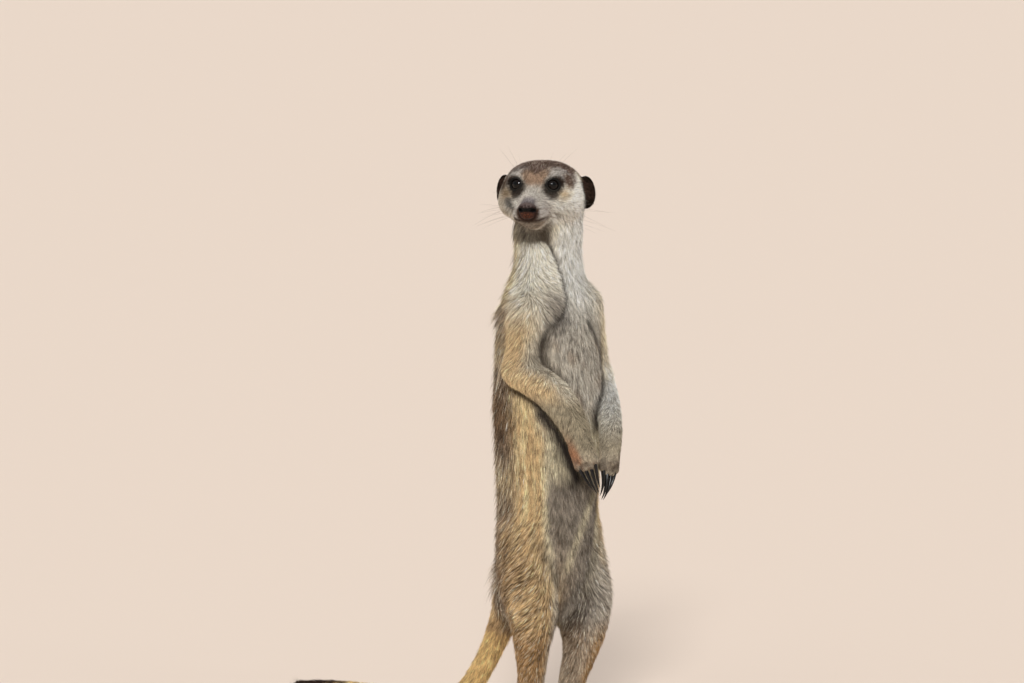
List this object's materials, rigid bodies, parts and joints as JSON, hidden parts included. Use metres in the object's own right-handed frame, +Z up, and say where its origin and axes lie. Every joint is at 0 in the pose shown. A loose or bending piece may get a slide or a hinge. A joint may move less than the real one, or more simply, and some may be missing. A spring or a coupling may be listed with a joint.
{
  "type": "meerkat",
  "caption": "Life-size meerkat standing upright on its hind feet, hands hanging before the belly, head turned aside, tail laid behind.",
  "frame": {"origin": "on the floor, at the middle of the whole animal's box in X and Y, tail included", "axes": "+Z up, along the standing body; the body faces -Y and its left side is +X; the head is turned 51 degrees to its own right"},
  "size_m": [0.0796, 0.2533, 0.3094],
  "materials": {
    "face_fur": "short dense fur, matte",
    "throat_fur": "soft pale fur, matte",
    "back_fur": "coarse banded fur, matte",
    "limb_fur": "short fur, matte",
    "tail_fur": "short coarse fur, matte",
    "tail_tip_fur": "dark coarse fur, matte",
    "ear_skin": "bare dark skin with fine down, matte",
    "nose_pad": "bare damp skin, satin",
    "eye": "wet, glossy",
    "claw": "horn, satin"
  },
  "bodies": {
    "root": {"head": "face_fur", "neck": "throat_fur", "chest": "throat_fur", "belly": "back_fur", "hips": "back_fur", "nose": "nose_pad", "tail_base": "tail_fur", "tail_middle": "tail_fur", "tail_tip": "tail_tip_fur", "eye_left": "eye", "ear_left": "ear_skin", "upper_arm_left": "limb_fur", "forearm_left": "limb_fur", "hand_left": "limb_fur", "thigh_left": "limb_fur", "shank_left": "limb_fur", "foot_left": "limb_fur", "hand_claw_left_1": "claw", "foot_claw_left_1": "claw", "hand_claw_left_2": "claw", "foot_claw_left_2": "claw", "hand_claw_left_3": "claw", "foot_claw_left_3": "claw", "hand_claw_left_4": "claw", "foot_claw_left_4": "claw", "eye_right": "eye", "ear_right": "ear_skin", "upper_arm_right": "limb_fur", "forearm_right": "limb_fur", "hand_right": "limb_fur", "thigh_right": "limb_fur", "shank_right": "limb_fur", "foot_right": "limb_fur", "hand_claw_right_1": "claw", "foot_claw_right_1": "claw", "hand_claw_right_2": "claw", "foot_claw_right_2": "claw", "hand_claw_right_3": "claw", "foot_claw_right_3": "claw", "hand_claw_right_4": "claw", "foot_claw_right_4": "claw"}
  },
  "joints": []
}
